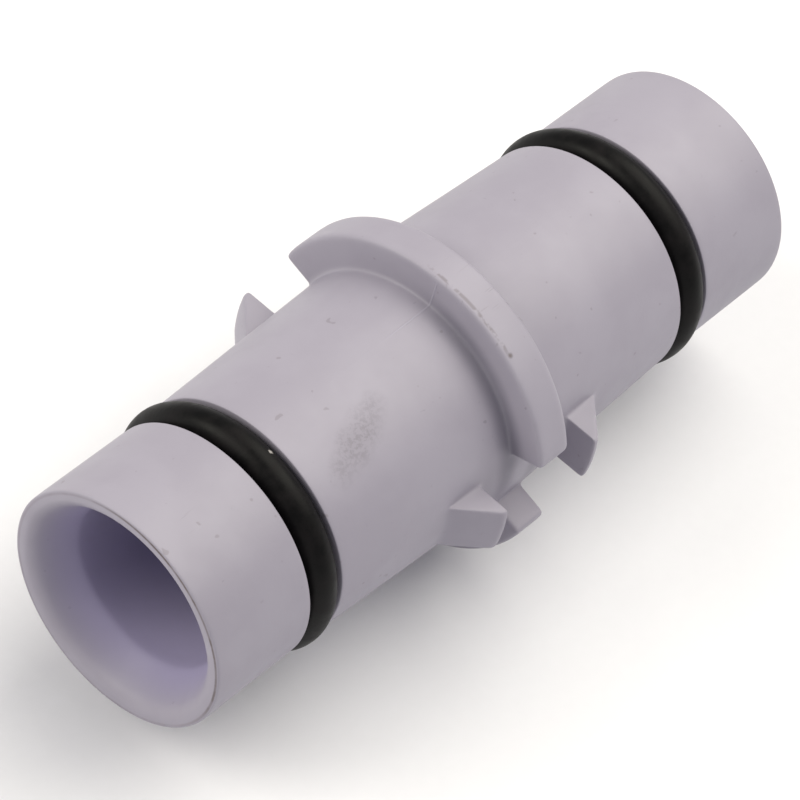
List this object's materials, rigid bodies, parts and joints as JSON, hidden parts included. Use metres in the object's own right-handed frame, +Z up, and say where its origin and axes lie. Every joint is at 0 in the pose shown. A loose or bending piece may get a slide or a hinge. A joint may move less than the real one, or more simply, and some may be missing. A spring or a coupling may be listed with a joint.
{
  "type": "push fit coupling",
  "caption": "Straight double-ended push-fit tube coupling with a through bore, an O-ring in a groove near each end, a split centre collar and catch lugs beside it.",
  "frame": {"origin": "on the bore's axis, at the middle of the collar and half way between the two end faces", "axes": "+X along the bore towards the right-hand end, +Y through one pair of catch lugs, +Z up through the middle of one half of the collar"},
  "size_m": [0.1244, 0.0516, 0.0522],
  "materials": {
    "moulded_body": "satin white injection-moulded plastic with a faint lavender cast, lightly handled",
    "seal_rubber": "black nitrile rubber with a soft sheen"
  },
  "bodies": {
    "body": {"coupling_body": "moulded_body"},
    "left_seal": {"o_ring_left": "seal_rubber"},
    "right_seal": {"o_ring_right": "seal_rubber"}
  },
  "joints": [
    {"name": "o_ring_left_float", "type": "slide", "parent": "body", "child": "left_seal", "axis": [1, 0, 0], "range_m": [-0.0008, 0.00005]},
    {"name": "o_ring_right_float", "type": "slide", "parent": "body", "child": "right_seal", "axis": [1, 0, 0], "range_m": [-0.0008, 0.00005]}
  ]
}
